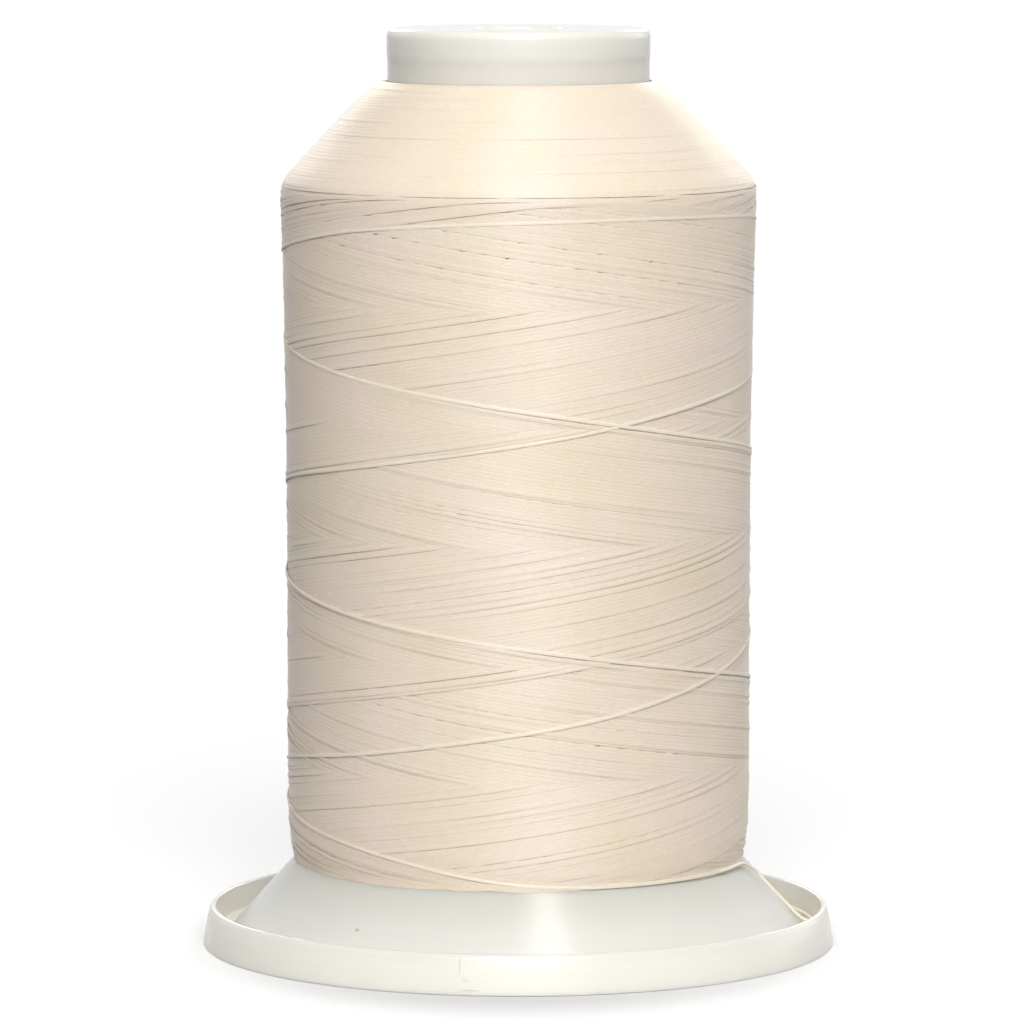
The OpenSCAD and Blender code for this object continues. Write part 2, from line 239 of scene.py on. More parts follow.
def through_points(table, per_span):
    """Catmull-Rom curve through rows of numbers, with the ends repeated.

    For f from 0 to 1 in a span, it is b + f/2 (c-a) + f^2/2 (2a-5b+4c-d) + f^3/2 (3b-a-3c+d).
    """
    padded = np.concatenate([table[:1], table, table[-1:]])
    a, b, c, d = padded[:-3, None], padded[1:-2, None], padded[2:-1, None], padded[3:, None]
    f = (np.arange(per_span) / per_span)[None, :, None]
    curve = (b + f / 2 * (c - a) + f ** 2 / 2 * (2 * a - 5 * b + 4 * c - d)
             + f ** 3 / 2 * (3 * b - a - 3 * c + d))
    return np.concatenate([curve.reshape(-1, table.shape[1]), table[-1:]])


def from_cylinder(radius, azimuth, height):
    """Points from radius, azimuth in degrees and height: x = r cos a, y = r sin a, z."""
    a = np.radians(azimuth)
    return np.stack([radius * np.cos(a), radius * np.sin(a), height + 0 * a], axis=-1)


def evenly_spaced(points, step):
    """The same line with points at equal distances along it, close to step."""
    gone = distance_along(points)
    places = np.linspace(0, gone[-1], int(round(gone[-1] / step)) + 1)
    return np.stack([np.interp(places, gone, points[:, k]) for k in range(3)], axis=1)


tail_curve = through_points(TAIL_ROUTE, per_span=24)
tail_line = evenly_spaced(from_cylinder(*tail_curve.T), TAIL_RING_GAP)
tail_up = unit(tail_line * np.array([1, 1, 0]) + np.array([0, 0, TAIL_UPRIGHT]))
thread_end = swept_thread("thread_end", tail_line, tail_up, THREAD_D / 2, THREAD_D / 2, FREE_SIDES,
                          relief=0.16, softness=0.3)
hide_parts("thread_tail")


# ---- Package outline ----

# Radius and height of the wound surface, from the skirt up to the neck
OUTLINE = np.array([
    [26.62, 10.12], [26.8, 11.2], [26.97, 11.9], [27.1, 13.0], [27.24, 14.4], [27.36, 18],
    [27.4, 24], [27.4, 32], [27.4, 42], [27.43, 52], [27.48, 62], [27.6, 70], [27.72, 77],
    [27.84, 83], [27.98, 87.5], [28.0, 89], [27.86, 90.1], [27.4, 91.0], [26.55, 92.1],
    [25.0, 93.8], [22.8, 96.15], [20.5, 98.6], [19.15, 99.95], [18.15, 100.9], [17.4, 101.5],
    [16.7, 101.95], [16.1, 102.2], [15.55, 102.3],
])
# A normal is square to the line between the points this far before and after its own
NORMAL_REACH = 0.4
outline_fine = through_points(OUTLINE, per_span=40)
outline_gone = distance_along(outline_fine)
outline_length = outline_gone[-1]


def outline_point(s):
    """Radius and height of the wound surface at a distance s along its outline."""
    return (np.interp(s, outline_gone, outline_fine[:, 0]),
            np.interp(s, outline_gone, outline_fine[:, 1]))


def outline_at(s):
    """Radius, height and outward normal of the wound surface at a distance s along its outline."""
    r, z = outline_point(s)
    r_before, z_before = outline_point(s - NORMAL_REACH)
    r_after, z_after = outline_point(s + NORMAL_REACH)
    dr = r_after - r_before
    dz = z_after - z_before
    size = np.hypot(dr, dz)
    return r, z, dz / size, -dr / size


def outline_place(z):
    """Distance along the outline of a height on it."""
    return np.interp(z, outline_fine[:, 1], outline_gone)


# ---- Winding ----

# The winder carries the thread up and down once per ROUND_TRIP degrees, so that each strand lies
# 0.42 mm from the last one of its family. PITCH is the height gained in one turn, LAST_TOP the
# angle of the last trip's top, and BOTTOM the height of the zig-zag's lower corners.
PITCH = 27.3
ROUND_TRIP = 2165.54
LAST_TOP = 745.05
BOTTOM = 8.9
TRIPS_LAID = 130
TRIPS_SHOWN = 68
SHOULDER_TURNS = 92
LOWER_TURNS = 14
# The height map that they are laid on: columns round the package, and mm per cell along its outline
COLUMNS = 256
CELL = 0.05
# Half the width and half the height of a strand's section, in the strokes and in the level turns
HALF_WIDTH = 0.24
HALF_HEIGHT = 0.055
LEVEL_HALF_WIDTH = 0.26
LEVEL_HALF_HEIGHT = 0.04
# Least and most rounding of the zig-zag's upper corners, and what turns it into a lower corner's
ROUNDING = (1.1, 1.9)
LOWER_ROUNDING_SHARE = 0.9
LOWER_ROUNDING_MORE = 0.2
# Strays in mm of height: strokes drawn together in pairs, each one's own spread, the share that is
# loose and by how much, and the slow and the quick wander of all
PAIRING = 0.02
STRAY = 0.026
LOOSE_SHARE = 0.08
LOOSE_BY = 0.1
SLOW_WANDER = 0.032
QUICK_WANDER = 0.012


def smooth_noise(count, knots_apart):
    """Random values at even knots, joined by a Catmull-Rom curve: about 1 in size."""
    knots = rng.normal(size=(count // knots_apart + 3, 1))
    return through_points(knots, knots_apart)[:count, 0]


def with_longer_ends(values, reach):
    """A row with its first and its last value repeated."""
    return np.concatenate([np.full(reach, values[0]), values, np.full(reach, values[-1])])


def blurred(values, sigma):
    """Values smoothed along their row by a Gaussian of sigma places."""
    reach = int(3 * sigma) + 1
    weight = np.exp(-0.5 * (np.arange(-reach, reach + 1) / sigma) ** 2)
    return np.convolve(with_longer_ends(values, reach), weight / weight.sum(), mode="valid")


def highest_near(values, reach):
    """The largest value within reach places on either side."""
    padded = with_longer_ends(values, reach)
    return np.lib.stride_tricks.sliding_window_view(padded, 2 * reach + 1).max(axis=1)


# Angle and height of the last round trip, which lies loosest and shows from end to end
LAST_TRIP = np.array([
    [-338, 10.7], [-325, 10.42], [-300, 10.4], [-262, 10.4], [-228, 10.6], [-205, 11.9],
    [-160, 15.6], [-120, 19.3], [-76.4, 23.18], [-44.2, 25.09], [-24.3, 26.6], [-3.7, 28.2],
    [12.4, 29.36], [25.1, 30.48], [39.4, 31.96], [55.2, 33.6], [68.2, 35.2], [77.4, 36.19],
    [284.9, 56.41], [316.6, 58.51], [340.4, 60.25], [356.4, 61.4], [372.2, 62.6], [384.7, 63.72],
    [398.8, 65.0], [417.1, 66.4], [437.4, 67.6], [647.5, 83.7], [676.2, 85.93], [708.6, 86.94],
    [732.1, 87.28], [758.3, 87.41], [792.3, 86.97], [830, 85.2], [870, 82.3], [1008.2, 70.98],
    [1024.4, 69.75], [1036.8, 68.75], [1056.1, 67.35], [1076.4, 65.9], [1088.1, 65.07],
    [1100.3, 64.1], [1113.7, 63.1], [1130.1, 61.8], [1154.7, 59.95], [1365.7, 43.4],
    [1383.3, 42.2], [1394.1, 41.4], [1411.3, 40.25], [1428.4, 39.08], [1444.4, 38.05],
    [1460.6, 36.9], [1479.4, 35.5], [1517.9, 32.6], [1730.5, 15.93], [1749.5, 14.78],
    [1766.1, 13.62], [1779.7, 12.33], [1796.2, 11.04], [1806, 10.65], [1820, 10.45],
    [1860, 10.4252],
])
last_bottom = LAST_TOP - ROUND_TRIP / 2
degrees_apart = 360 / COLUMNS
first_column = math.ceil((last_bottom - TRIPS_LAID * ROUND_TRIP) / degrees_apart)
end_column = math.floor(LAST_TRIP[-1, 0] / degrees_apart)
turn_column = np.arange(first_column, end_column + 1)
turn_angle = turn_column * degrees_apart
turn_count = len(turn_angle)

# Distance in height from the nearest sharp top and bottom of the zig-zag
trips = (turn_angle - last_bottom) / ROUND_TRIP
stroke_number = np.floor(2 * trips).astype(int)
half_trip = PITCH * ROUND_TRIP / 2 / 360
from_bottom = half_trip * (1 - np.abs(2 * (trips - np.floor(trips)) - 1))
from_top = half_trip - from_bottom
# Strokes with numbers of their own: all that are laid, and a few to spare
strokes = 2 * TRIPS_LAID + 8
rounding = rng.uniform(*ROUNDING, size=strokes)
top_round = rounding[np.floor(trips).astype(int) % strokes]
bottom_round = (rounding[(np.round(trips).astype(int) + TRIPS_LAID) % strokes]
                * LOWER_ROUNDING_SHARE + LOWER_ROUNDING_MORE)
height = (BOTTOM + from_bottom
          - (np.hypot(from_top, top_round) - from_top)
          + (np.hypot(from_bottom, bottom_round) - from_bottom))

# Each stroke strays a little from its place: pairs draw together, some leave a gap, all wander
stray = PAIRING * (-1.0) ** (np.arange(strokes) // 2) + rng.normal(0, STRAY, strokes)
loose = np.where(rng.random(strokes) < LOOSE_SHARE, rng.choice([-LOOSE_BY, LOOSE_BY], strokes), 0)
looseness = np.clip(0.5 + 0.8 * smooth_noise(turn_count, knots_apart=70), 0, 1)
wander = (SLOW_WANDER * smooth_noise(turn_count, knots_apart=60)
          + QUICK_WANDER * smooth_noise(turn_count, knots_apart=14))
this_stroke = stroke_number % strokes
height = height + stray[this_stroke] + loose[this_stroke] * looseness + wander
on_last_trip = turn_angle >= LAST_TRIP[0, 0]
last_height = np.interp(turn_angle, LAST_TRIP[:, 0], LAST_TRIP[:, 1])
height = np.where(on_last_trip, blurred(last_height, sigma=4.0), height)
height = blurred(height, sigma=2.5)
turn_place = outline_place(height)


def level_turns(turns, start, far, sway, from_angle):
    """Columns and places of nearly level turns, out from one place on the outline and back to it.

    They sway a little on the way: place = start + (far - start) (1 - |2 f - 1|) + sway, for f from
    0 to 1.
    """
    count = turns * COLUMNS
    out_and_back = 1 - np.abs(2 * np.arange(count) / count - 1)
    swayed = (sway * smooth_noise(count, knots_apart=60)
              + 0.2 * sway * smooth_noise(count, knots_apart=12))
    place = start + (far - start) * out_and_back + swayed
    return np.arange(count) + int(round(from_angle / degrees_apart)), place


# Turns that are older than the strokes: the strokes' ends lie over them at both edges
SHOULDER_FOOT = 86.5
neck_end = outline_length - 0.2
skirt_end = 0.12
level_column, level_place = level_turns(
    SHOULDER_TURNS, start=neck_end, far=outline_place(SHOULDER_FOOT), sway=0.045, from_angle=-130)
level_place = np.minimum(level_place, neck_end)
lower_column, lower_place = level_turns(
    LOWER_TURNS, start=skirt_end, far=2.0, sway=0.05, from_angle=40)
lower_place = np.maximum(lower_place, skirt_end)

# The surface starts as a gentle ramp behind the newest strand of each family, with a step at it:
# the older layers have one there too. Age is how far a place lies behind that strand, from 0 to 1.
LAYER_STEP = 0.06
# Heights of the newest rising and the newest falling strand at the front, and the ramps' upper end
NEWEST_RISING = 61.8
NEWEST_FALLING = 65.6
RAMP_TOP = 89
SPARE_CELLS = 40
cell_places = np.arange(int(outline_length / CELL) + SPARE_CELLS) * CELL
cell_heights = outline_at(np.minimum(cell_places, outline_length))[1][None, :]
column_rise = (np.arange(COLUMNS) / COLUMNS * PITCH)[:, None]
age_up = ((cell_heights - NEWEST_RISING - column_rise) / PITCH) % 1
age_down = ((NEWEST_FALLING - column_rise - cell_heights) / PITCH) % 1
surface = -LAYER_STEP * (age_up + age_down) * (cell_heights < RAMP_TOP)
# Height of a place that nothing touches: below all thread
NO_SUPPORT = -9


def lay_down(columns, places, half_width, half_height):
    """Lays one run of thread on the surface built up so far, and returns its centre's height.

    The thread's section is an ellipse of half width w and half height h. Its centre rests where
    surface + h sqrt(1 - (u/w)^2) is highest across the middle half of its width, u being the
    distance from its middle: its sides give way. Its pull bridges dips: the highest support near
    each place counts, evened out along the run. Then the surface rises to the thread's own upper
    side, centre + h sqrt(1 - (u/w)^2).
    """
    cell = np.floor(places / CELL).astype(int)
    reach = int(half_width / CELL) + 1
    near = cell[:, None] + np.arange(-reach, reach + 2)[None, :]
    u = (near * CELL - places[:, None]) / half_width
    rise = half_height * np.sqrt(np.clip(1 - u ** 2, 0, None))
    inside = np.abs(u) < 1
    touching = np.abs(u) < 0.5
    near = np.clip(near, 0, surface.shape[1] - 1)
    column = (columns % COLUMNS)[:, None] + 0 * near
    support = np.where(touching, surface[column, near] + rise, NO_SUPPORT).max(axis=1)
    centre = blurred(highest_near(support, reach=1), sigma=3.0)
    top = np.where(inside, centre[:, None] + rise, NO_SUPPORT)
    np.maximum.at(surface, (column, near), top)
    return centre


def lay_level(column, place):
    """Lays level turns one by one, and returns their centres' heights."""
    return np.concatenate([
        lay_down(column[i:i + COLUMNS], place[i:i + COLUMNS], LEVEL_HALF_WIDTH, LEVEL_HALF_HEIGHT)
        for i in range(0, len(column), COLUMNS)
    ])


level_centre = lay_level(level_column, level_place)
lower_centre = lay_level(lower_column, lower_place)
stroke_starts = np.flatnonzero(np.diff(stroke_number, prepend=stroke_number[0] - 1))
stroke_ends = np.append(stroke_starts[1:], turn_count)
turn_centre = np.concatenate([
    lay_down(turn_column[a:b], turn_place[a:b], HALF_WIDTH, HALF_HEIGHT)
    for a, b in zip(stroke_starts, stroke_ends)
])


def evened(values, across, along):
    """A field on the package blurred by Gaussians of so many columns and cells.

    They are multiplied in as exp(-2 (pi f sigma)^2) at each frequency f. The field closes round,
    and is mirrored past its ends.
    """
    mirrored = np.concatenate([values, values[:, ::-1]], axis=1)
    f_across = np.fft.fftfreq(mirrored.shape[0])[:, None]
    f_along = np.fft.rfftfreq(mirrored.shape[1])[None, :]
    kept = np.exp(-2 * np.pi ** 2 * ((f_across * across) ** 2 + (f_along * along) ** 2))
    return np.fft.irfft2(np.fft.rfft2(mirrored) * kept, s=mirrored.shape)[:, :values.shape[1]]


# The thread's pull evens out the package: the mean height round each place counts as nought
ridges = blurred(surface.mean(axis=0), sigma=3)[None, :]
mean_surface = ridges + evened(surface - ridges, across=14, along=22)

# Towards both edges the turns are pulled tighter, and bed deeper into each other: at each height,
# the share of its standing out that a turn keeps
BEDDING = np.array([
    [10, 0.35], [14, 0.45], [19, 1], [62, 1], [72, 0.72], [81, 0.65], [86, 0.22], [88.5, 0.25],
    [91, 0.75],
])
MOST_RELIEF = 0.16
# Blur of the turns' centres in columns, and columns from one ring of a tube to the next
CENTRE_BLUR = 1.5
RING_EVERY = 4


def wound_line(angle, place, centre):
    """Centre line of wound thread, and the outward normal there: outline + normal (centre - mean).

    A difference d is held within a most m as m tanh(d / m).
    """
    r, z, normal_r, normal_z = outline_at(place)
    column = np.round(angle / degrees_apart).astype(int) % COLUMNS
    cell = np.minimum((place / CELL).astype(int), mean_surface.shape[1] - 2)
    part = place / CELL - cell
    off = centre - mean_surface[column, cell] * (1 - part) - mean_surface[column, cell + 1] * part
    off = off * np.interp(z, BEDDING[:, 0], BEDDING[:, 1])
    off = MOST_RELIEF * np.tanh(off / MOST_RELIEF)
    azimuth = angle + FRONT_AZIMUTH
    line = from_cylinder(r + normal_r * off, azimuth, z + normal_z * off)
    return line, from_cylinder(normal_r, azimuth, normal_z)


def level_thread(name, column, place, centre):
    """One tube of level turns."""
    pick = slice(None, None, RING_EVERY)
    line, up = wound_line(column[pick] * degrees_apart, place[pick],
                          blurred(centre, CENTRE_BLUR)[pick])
    return swept_thread(name, line, up, LEVEL_HALF_WIDTH, LEVEL_HALF_HEIGHT, WOUND_SIDES,
                        relief=0, softness=0.8)


shoulder_turns = level_thread("shoulder_turns", level_column, level_place, level_centre)
lower_turns = level_thread("lower_turns", lower_column, lower_place, lower_centre)

turn_centre = blurred(turn_centre, CENTRE_BLUR)
shown_from = last_bottom - TRIPS_SHOWN * ROUND_TRIP
shown_middle = last_bottom - TRIPS_SHOWN // 2 * ROUND_TRIP
# Degrees by which the strokes run on under the start of the last round trip
OVERLAP = 4


def strokes_between(name, low, high):
    """One tube of the wound thread between two angles."""
    pick = np.flatnonzero((turn_angle >= low) & (turn_angle <= high))[::RING_EVERY]
    line, up = wound_line(turn_angle[pick], turn_place[pick], turn_centre[pick])
    return swept_thread(name, line, up, HALF_WIDTH, HALF_HEIGHT, WOUND_SIDES,
                        relief=0, softness=0.83)


inner_strokes = strokes_between("inner_strokes", shown_from, shown_middle)
outer_strokes = strokes_between("outer_strokes", shown_middle, LAST_TRIP[0, 0] + OVERLAP)

# The last round trip has its plies as geometry, and runs into the thread's free end: over the last
# degrees of it, its radius and height f turn into the free end's by 3 f^2 - 2 f^3
END_DEGREES = 36
LAST_HALF_HEIGHT = 0.09
LAST_RING_GAP = 0.26
end_radius = TAIL_ROUTE[0, 0]
end_height = TAIL_ROUTE[0, 2]
last_line, _ = wound_line(
    turn_angle[on_last_trip], turn_place[on_last_trip], turn_centre[on_last_trip])
end_from = LAST_TRIP[-1, 0] - END_DEGREES
to_end = np.clip((turn_angle[on_last_trip] - end_from) / END_DEGREES, 0, 1)
to_end = to_end * to_end * (3 - 2 * to_end)
last_radius = np.hypot(last_line[:, 0], last_line[:, 1])
held_radius = last_radius + (end_radius - last_radius) * to_end
last_line[:, :2] *= (held_radius / last_radius)[:, None]
last_line[:, 2] += (end_height - last_line[:, 2]) * to_end
last_line = np.concatenate([last_line[:-1], TAIL_START[None, :]])
last_points = evenly_spaced(last_line, LAST_RING_GAP)
last_radial = unit(last_points * np.array([1, 1, 0]))
last_strand = swept_thread("last_strand", last_points, last_radial, THREAD_D / 2, LAST_HALF_HEIGHT,
                           FREE_SIDES, relief=0.14, softness=0.75)
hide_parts("outer_turns")

# A plain core closes the package this far under the turns, down to the tube and the skirt. Its
# outline starts and ends a little inside theirs
CORE_DEPTH = 0.34
CORE_IN_R = 15.44
CORE_IN_TOP_Z = 101.9
CORE_IN_FOOT_Z = 22.62
CORE_ROWS = 160
CORE_SEGMENTS = 128
core_place = np.linspace(0.6, outline_length - 0.5, CORE_ROWS)
core_r, core_z, core_nr, core_nz = outline_at(core_place)
core_outer = np.stack([core_r - CORE_DEPTH * core_nr, core_z - CORE_DEPTH * core_nz], axis=1)
core_inner = np.array([[CORE_IN_R, CORE_IN_TOP_Z], [CORE_IN_R, CORE_IN_FOOT_Z]])
core_profile = np.concatenate([core_outer, core_inner])
package_core = revolved("package_core", core_profile, CORE_SEGMENTS, "spool", wound=True)
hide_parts("thread_package")


# ---- Plastic mouldings ----

MOULDING_SEGMENTS = 224

# Skirt: the lower edge of its outer face, its slope in degrees, and its wall square to the face
SKIRT_R = 34.3
SKIRT_Z = 1.6
SKIRT_ANGLE = 48
SKIRT_T = 1.5
SKIRT_RISE = math.tan(math.radians(SKIRT_ANGLE))
SKIRT_DROP = SKIRT_T / math.cos(math.radians(SKIRT_ANGLE))


def skirt_over(r):
    """Height of the skirt's outer face at a radius."""
    return SKIRT_Z + (SKIRT_R - r) * SKIRT_RISE


def skirt_under(r):
    """Height of the skirt's inner face at a radius."""
    return skirt_over(r) - SKIRT_DROP


# Foot ring: rim with draft, flat gutter floor, and collar with the snap bead
FOOT_R = 37.5
RIM_IN_R = 36.0
RIM_Z = 4.6
FLOOR_Z = 1.3
COLLAR_R = 29.3
COLLAR_IN_R = 28.1
COLLAR_Z = 4.411
BEAD_R = 27.5
BEAD_Z = 3.911
# Rows of radius, height and easing
foot_profile = eased_profile([
    [COLLAR_IN_R, 0, 0.1], [FOOT_R, 0, 0.15], [37.06, 2.9, 0.6], [36.72, 4.25, 0.25],
    [36.45, RIM_Z, 0.12], [RIM_IN_R, RIM_Z, 0.2], [RIM_IN_R, FLOOR_Z, 0.45],
    [COLLAR_R, FLOOR_Z, 0.3], [COLLAR_R, COLLAR_Z, 0.15], [BEAD_R, COLLAR_Z, 0.12],
    [BEAD_R, BEAD_Z, 0.12], [COLLAR_IN_R, BEAD_Z, 0.05],
])
foot_ring = revolved("foot_moulding", foot_profile, MOULDING_SEGMENTS, "foot")
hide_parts("foot_ring")

# Spool body: neck and tube with a closed top, hub, skirt and snap sleeve with its hook, in one
# outline
BORE_R = 5
HUB_R = 6.5
TUBE_IN_R = 13.8
TUBE_R = 15.4
NECK_R = 15.5
SLEEVE_IN_R = 26
SLEEVE_R = 27.2
HOOK_R = 27.8
SLEEVE_Z = 0.5
HOOK_Z = 1.0
HUB_Z = 1.5
TOP_IN_Z = 106.7
TOP_Z = 108.5
# Rows of radius, height and easing
body_profile = eased_profile([
    [BORE_R, HUB_Z, 0.15], [HUB_R, HUB_Z, 0.15], [HUB_R, TOP_IN_Z, 0.3],
    [TUBE_IN_R, TOP_IN_Z, 0.3], [TUBE_IN_R, HUB_Z, 0.2], [TUBE_R, HUB_Z, 0.2],
    [TUBE_R, skirt_under(TUBE_R), 0.4], [SLEEVE_IN_R, skirt_under(SLEEVE_IN_R), 0.3],
    [SLEEVE_IN_R, SLEEVE_Z, 0.15], [HOOK_R, SLEEVE_Z, 0.2], [HOOK_R, HOOK_Z, 0.12],
    [SLEEVE_R, HOOK_Z, 0.08], [SLEEVE_R, skirt_under(SLEEVE_R), 0.3],
    [SKIRT_R - SKIRT_DROP / SKIRT_RISE, SKIRT_Z, 0.2], [SKIRT_R, SKIRT_Z, 0.2],
    [TUBE_R, skirt_over(TUBE_R), 0.3], [15.42, 104.5, 0.2], [NECK_R, 105.4, 0.2],
    [NECK_R, TOP_Z, 1.0], [BORE_R, TOP_Z, 0.35],
])
body_moulding = revolved("body_moulding", body_profile, MOULDING_SEGMENTS, "spool")

# Ribs between hub and tube, and under the skirt. They run on into the skirt's wall by RIB_SINK
RIBS = 6
RIB_T = 1.2
RIB_SINK = 0.2


def rib_plates(name, inner, outer, bottom, inner_top, outer_top):
    """Upright plates that run out from the axis, at equal angles all round."""
    flat = np.array([[inner, bottom], [outer, bottom], [outer, outer_top], [inner, inner_top]],
                    float)
    out = flat[:, 0]
    corners = np.concatenate([
        np.stack([out, np.full(4, -RIB_T / 2), flat[:, 1]], axis=1),
        np.stack([out, np.full(4, RIB_T / 2), flat[:, 1]], axis=1),
    ])
    turn = np.radians(np.arange(RIBS) * 360.0 / RIBS)[:, None]
    x = corners[None, :, 0] * np.cos(turn) - corners[None, :, 1] * np.sin(turn)
    y = corners[None, :, 0] * np.sin(turn) + corners[None, :, 1] * np.cos(turn)
    z = corners[None, :, 2] + 0 * turn
    points = np.stack([x, y, z], axis=-1).reshape(-1, 3)
    box = np.array([[0, 1, 2, 3], [7, 6, 5, 4], [0, 4, 5, 1], [1, 5, 6, 2], [2, 6, 7, 3],
                    [3, 7, 4, 0]])
    quads = (box[None] + len(corners) * np.arange(RIBS)[:, None, None]).reshape(-1, 4)
    piece = new_piece(name, points, quads.ravel(), np.full(len(quads), 4), "spool")
    piece.data.polygons.foreach_set("use_smooth", np.zeros(len(quads), bool))
    return piece


hub_ribs = rib_plates("hub_ribs", inner=6.3, outer=14.0, bottom=HUB_Z,
                      inner_top=106.8, outer_top=106.8)
skirt_ribs = rib_plates("skirt_ribs", inner=15.2, outer=26.2, bottom=HUB_Z,
                        inner_top=skirt_under(15.2) + RIB_SINK,
                        outer_top=skirt_under(26.2) + RIB_SINK)
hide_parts("spool_body")


# ---- Materials ----

def linear(hex_colour):
    """An sRGB hex colour as the linear numbers that a socket takes.

    They are ((c + 0.055)/1.055)^2.4, or c/12.92 where c is at most 0.04045.
    """
    parts = np.array([int(hex_colour[i:i + 2], 16) for i in (0, 2, 4)]) / 255
    low = parts / 12.92
    high = ((parts + 0.055) / 1.055) ** 2.4
    return (*np.where(parts <= 0.04045, low, high), 1.0)


def add_node(tree, kind, settings=None, links=None):
    """One node. Settings are its properties, or its inputs' values where the name is an input's."""
    node = tree.nodes.new(kind)
    for key, value in (settings or {}).items():
        if isinstance(key, int) or key in node.inputs:
            node.inputs[key].default_value = value
        else:
            setattr(node, key, value)
    for key, source in (links or {}).items():
        tree.links.new(source, node.inputs[key])
    return node


def new_material(name):
    """An empty material with its output node."""
    material = bpy.data.materials.new(name)
    material.use_nodes = True
    material.node_tree.nodes.clear()
    output = add_node(material.node_tree, "ShaderNodeOutputMaterial")
    return material, material.node_tree, output


def colour_steps(node, steps):
    """Sets a colour ramp's steps, as (place, hex colour)."""
    ramp = node.color_ramp
    while len(ramp.elements) < len(steps):
        ramp.elements.new(0.5)
    for element, (place, colour) in zip(ramp.elements, steps):
        element.position = place
        element.color = linear(colour)


# Range that most of a noise texture's values lie in
NOISE_SPREAD = (0.3, 0.7)


def noise(tree, vector, scale, detail, roughness):
    """A noise texture over a vector, as its output socket."""
    settings = {"Scale": scale, "Detail": detail, "Roughness": roughness}
    return add_node(tree, "ShaderNodeTexNoise", settings, {"Vector": vector}).outputs["Fac"]


def mapped(tree, value, old, new, kind="LINEAR"):
    """A value mapped from one range to another, as the output socket."""
    settings = {"interpolation_type": kind, "From Min": old[0], "From Max": old[1],
                "To Min": new[0], "To Max": new[1]}
    return add_node(tree, "ShaderNodeMapRange", settings, {"Value": value}).outputs["Result"]


def maths(tree, operation, *operands, clamp=False):
    """A maths node on numbers and sockets, as its output socket."""
    settings = {"operation": operation, "use_clamp": clamp}
    links = {}
    for i, operand in enumerate(operands):
        (settings if isinstance(operand, float) else links)[i] = operand
    return add_node(tree, "ShaderNodeMath", settings, links).outputs["Value"]


def vector_maths(tree, operation, vector, other=(0.0, 0.0, 0.0)):
    """A vector maths node on a socket and three numbers."""
    return add_node(tree, "ShaderNodeVectorMath", {"operation": operation, 1: other}, {0: vector})


def multiplied(tree, colour, factor):
    """A colour times a factor, as the output socket."""
    settings = {"data_type": "RGBA", "blend_type": "MULTIPLY", "Factor": 1.0}
    return add_node(tree, "ShaderNodeMix", settings, {6: colour, 7: factor}).outputs[2]


def cream_thread(name, colours, plies_as_bump):
    """Spun polyester sewing thread, dyed cream and lightly waxed: matt, with a soft wax sheen.

    Colours are the three steps of the dye's cloudiness.
    """
    material, tree, output = new_material(name)
    place = add_node(tree, "ShaderNodeTexCoord")
    # Dye takes a little unevenly over a centimetre or two of package, and from strand to strand
    cloud = noise(tree, place.outputs["Object"], scale=85.0, detail=3.0, roughness=0.6)
    base = add_node(tree, "ShaderNodeValToRGB", None, {"Fac": cloud})
    colour_steps(base, list(zip((0.32, 0.5, 0.68), colours)))
    # Fibres: fine streaks along the thread, just under 1 mm long and a ninth of its girth wide
    stretched = add_node(tree, "ShaderNodeMapping", {"Scale": (1.3, 9.0, 1.0)},
                         {"Vector": place.outputs["UV"]})
    fibre = noise(tree, stretched.outputs["Vector"], scale=1.0, detail=2.0, roughness=0.55)
    shade = mapped(tree, fibre, NOISE_SPREAD, (0.93, 1.03))
    # The thread is made a little darker towards the bottom
    where = add_node(tree, "ShaderNodeSeparateXYZ", None, {"Vector": place.outputs["Object"]})
    darker_towards_foot = mapped(tree, where.outputs["Z"], (0.015, 0.08), (0.925, 1.005))
    # Painted shade: the shoulder, which faces up into more of the lamps' light, is painted a little
    # darker
    shoulder_painted_shade = mapped(tree, where.outputs["Z"], (0.086, 0.09), (1.0, 0.945))
    # The darker bottom and the shoulder's painted shade together scale the colour
    height_darkening = maths(tree, "MULTIPLY", darker_towards_foot, shoulder_painted_shade)
    tinted = multiplied(tree, base.outputs["Color"], maths(tree, "MULTIPLY", shade, height_darkening))
    # Fibres that lie side by side throw the light up and down, but hardly sideways
    along = add_node(tree, "ShaderNodeTangent",
                     {"direction_type": "UV_MAP", "uv_map": "along_thread"})
    shader = add_node(tree, "ShaderNodeBsdfPrincipled", {
        "Roughness": 0.55, "IOR": 1.5, "Specular IOR Level": 0.75,
        "Anisotropic": 0.75, "Anisotropic Rotation": 0.25,
        "Sheen Weight": 0.05, "Sheen Roughness": 0.4,
    }, {"Base Color": tinted, "Tangent": along.outputs["Tangent"]})
    height = fibre
    if plies_as_bump:
        # The plies' height is the distance from the nearest groove, rounded off by a power
        parts = add_node(tree, "ShaderNodeSeparateXYZ", None, {"Vector": place.outputs["UV"]})
        turns = maths(tree, "DIVIDE", parts.outputs["X"], PLY_LAY)
        phase = maths(tree, "SUBTRACT", parts.outputs["Y"], turns)
        groove = maths(tree, "PINGPONG", maths(tree, "MULTIPLY", phase, float(PLIES)), 0.5)
        height = maths(tree, "MULTIPLY_ADD", fibre, 0.35, maths(tree, "POWER", groove, 0.5))
    bump = add_node(tree, "ShaderNodeBump", {"Strength": 0.22, "Distance": 0.00006},
                    {"Height": height})
    tree.links.new(bump.outputs["Normal"], shader.inputs["Normal"])
    tree.links.new(shader.outputs["BSDF"], output.inputs["Surface"])
    return material


